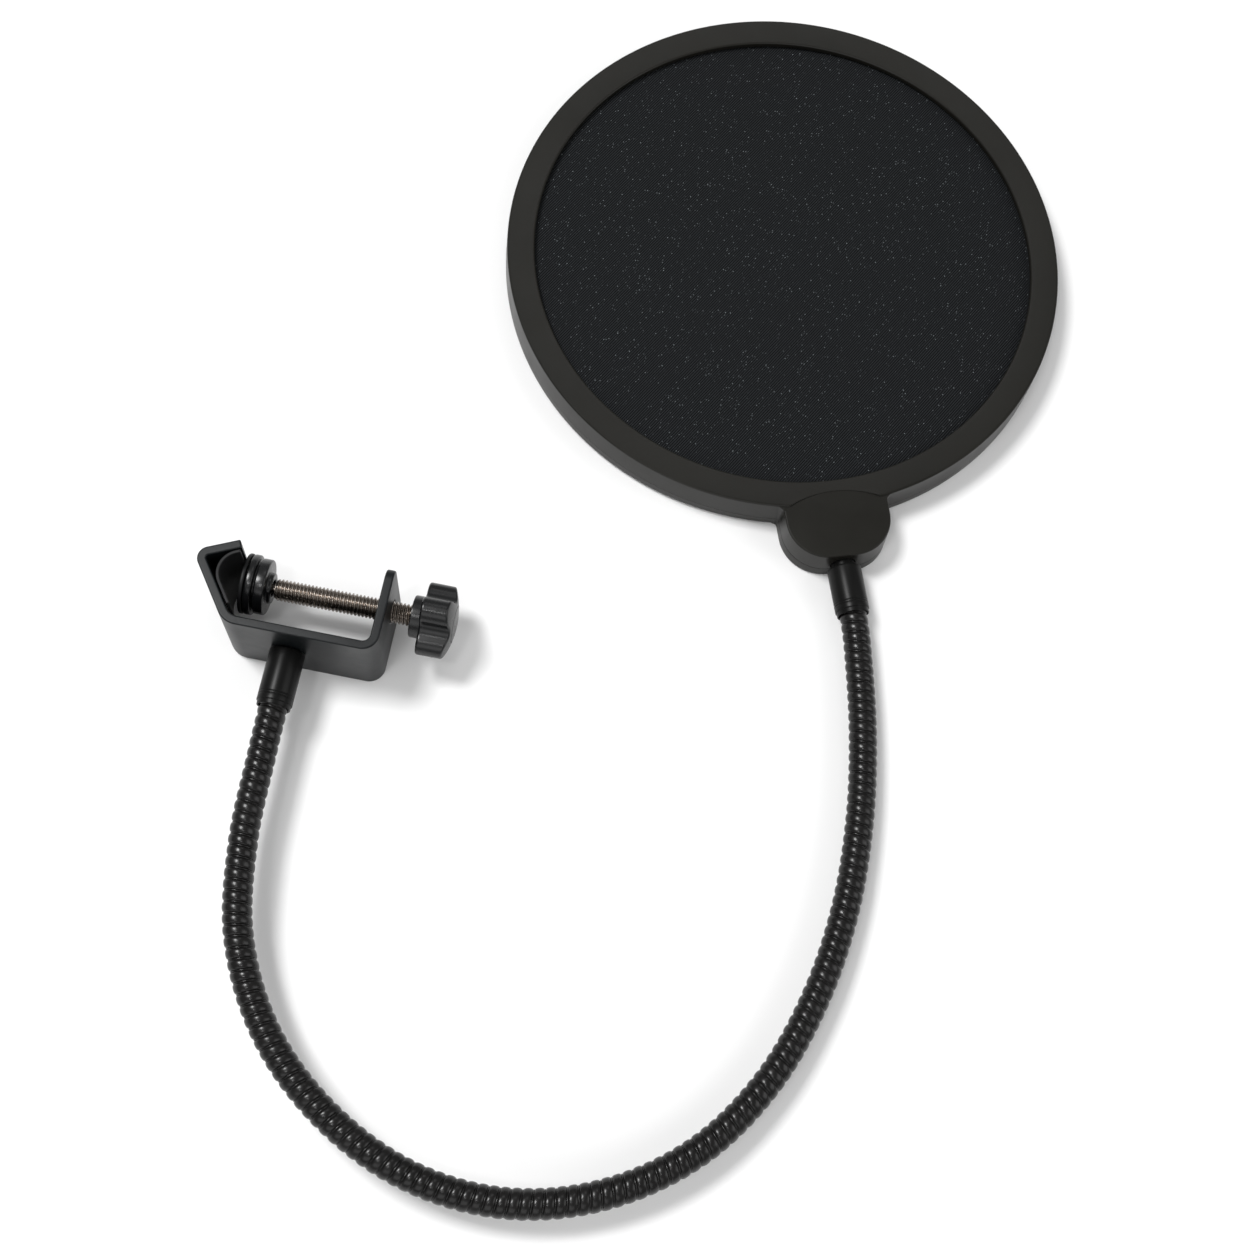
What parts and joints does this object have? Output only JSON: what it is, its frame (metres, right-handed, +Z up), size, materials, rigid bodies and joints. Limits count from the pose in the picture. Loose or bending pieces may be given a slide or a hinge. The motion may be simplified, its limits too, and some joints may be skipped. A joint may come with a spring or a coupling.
{
  "type": "microphone pop filter",
  "caption": "Round double-screen microphone pop filter on a bendable gooseneck with a screw clamp, its ring joined to the neck by a rim tab; lies flat on a table.",
  "frame": {"origin": "middle of the footprint of the whole object lying flat, on the surface it lies on", "axes": "+Z up, along the filter ring's axis and the clamp strap's width; +Y from the gooseneck's far bend towards the filter ring; +X from the clamp's jaw towards its knob, along the clamp screw"},
  "size_m": [0.2186, 0.3599, 0.028],
  "materials": {
    "front_shell": "satin moulded plastic",
    "rear_shell": "satin moulded plastic",
    "front_screen": "fine woven nylon, stretched",
    "rear_screen": "fine woven nylon, stretched",
    "front_hoop": "plain moulded",
    "rear_hoop": "plain moulded",
    "spacer_ring": "plain moulded",
    "shell_screw_left": "zinc plated",
    "shell_screw_right": "zinc plated",
    "ring_ferrule": "satin moulded plastic",
    "clamp_ferrule": "black, satin",
    "neck_screw": "zinc plated",
    "neck_washer": "zinc plated",
    "clamp_bracket": "black powder coat",
    "jaw_liner": "smooth soft strip",
    "clamp_screw": "dark nickel",
    "ball_seat": "natural acetal",
    "pressure_pad": "moulded",
    "pad_face": "smooth",
    "clamp_knob": "moulded, semi-gloss",
    "knob_insert": "knurled blank",
    "neck_link_01": "black, wound wire",
    "neck_link_02": "black, wound wire",
    "neck_link_03": "black, wound wire",
    "neck_link_04": "black, wound wire",
    "neck_link_05": "black, wound wire",
    "neck_link_06": "black, wound wire",
    "neck_link_07": "black, wound wire",
    "neck_link_08": "black, wound wire",
    "neck_link_09": "black, wound wire",
    "neck_link_10": "black, wound wire",
    "neck_link_11": "black, wound wire"
  },
  "bodies": {
    "clamp": {"clamp_bracket": "clamp_bracket", "jaw_liner": "jaw_liner", "clamp_ferrule": "clamp_ferrule", "neck_washer": "neck_washer", "neck_screw": "neck_screw", "neck_link_01": "neck_link_01"},
    "neck_02": {"neck_link_02": "neck_link_02"},
    "neck_03": {"neck_link_03": "neck_link_03"},
    "neck_04": {"neck_link_04": "neck_link_04"},
    "neck_05": {"neck_link_05": "neck_link_05"},
    "neck_06": {"neck_link_06": "neck_link_06"},
    "neck_07": {"neck_link_07": "neck_link_07"},
    "neck_08": {"neck_link_08": "neck_link_08"},
    "neck_09": {"neck_link_09": "neck_link_09"},
    "neck_10": {"neck_link_10": "neck_link_10"},
    "filter_head": {"neck_link_11": "neck_link_11", "ring_ferrule": "ring_ferrule", "front_shell": "front_shell", "rear_shell": "rear_shell", "front_screen": "front_screen", "rear_screen": "rear_screen", "front_hoop": "front_hoop", "rear_hoop": "rear_hoop", "spacer_ring": "spacer_ring", "shell_screw_left": "shell_screw_left", "shell_screw_right": "shell_screw_right"},
    "seat": {"ball_seat": "ball_seat"},
    "pad": {"pressure_pad": "pressure_pad", "pad_face": "pad_face"},
    "screw": {"clamp_screw": "clamp_screw", "clamp_knob": "clamp_knob", "knob_insert": "knob_insert"}
  },
  "joints": [
    {"name": "neck_bend_01", "type": "hinge", "parent": "clamp", "child": "neck_02", "pos_m": [-0.08236, -0.08481, 0.01394], "axis": [0, 0, 1], "range_deg": [-40, 15]},
    {"name": "neck_lift_02", "type": "hinge", "parent": "neck_02", "child": "neck_03", "pos_m": [-0.07824, -0.12102, 0.01353], "axis": [-0.962, -0.2731, 0], "range_deg": [-30, 30]},
    {"name": "neck_bend_03", "type": "hinge", "parent": "neck_03", "child": "neck_04", "pos_m": [-0.06001, -0.15226, 0.01279], "axis": [0, 0, 1], "range_deg": [-40, 15]},
    {"name": "neck_lift_04", "type": "hinge", "parent": "neck_04", "child": "neck_05", "pos_m": [-0.02949, -0.17183, 0.01182], "axis": [-0.3481, -0.9375, 0], "range_deg": [-30, 30]},
    {"name": "neck_bend_05", "type": "hinge", "parent": "neck_05", "child": "neck_06", "pos_m": [0.00649, -0.17518, 0.0107], "axis": [0, 0, 1], "range_deg": [-40, 15]},
    {"name": "neck_lift_06", "type": "hinge", "parent": "neck_06", "child": "neck_07", "pos_m": [0.03954, -0.16048, 0.00955], "axis": [-0.617, 0.787, 0], "range_deg": [-30, 30]},
    {"name": "neck_bend_07", "type": "hinge", "parent": "neck_07", "child": "neck_08", "pos_m": [0.06196, -0.13205, 0.00843], "axis": [0, 0, 1], "range_deg": [-40, 15]},
    {"name": "neck_lift_08", "type": "hinge", "parent": "neck_08", "child": "neck_09", "pos_m": [0.07238, -0.09716, 0.00746], "axis": [-0.9877, 0.1562, 0], "range_deg": [-30, 30]},
    {"name": "neck_bend_09", "type": "hinge", "parent": "neck_09", "child": "neck_10", "pos_m": [0.07387, -0.06073, 0.00672], "axis": [0, 0, 1], "range_deg": [-40, 15]},
    {"name": "neck_lift_10", "type": "hinge", "parent": "neck_10", "child": "filter_head", "pos_m": [0.06872, -0.02459, 0.00631], "axis": [-0.9778, -0.2096, 0], "range_deg": [-30, 30]},
    {"name": "pad_travel", "type": "slide", "parent": "clamp", "child": "seat", "axis": [1, 0, 0], "range_m": [0, 0.028]},
    {"name": "pad_tilt", "type": "hinge", "parent": "seat", "child": "pad", "pos_m": [-0.0935, -0.03435, 0.014], "axis": [0, 0, 1], "range_deg": [-2, 2]},
    {"name": "screw_turn", "type": "hinge", "parent": "seat", "child": "screw", "pos_m": [-0.0935, -0.03435, 0.014], "axis": [1, 0, 0], "range_deg": [0, 10081]}
  ],
  "couplings": [
    {"joint": "screw_turn", "follows": "pad_travel", "rad_per_m": 6283.2}
  ]
}
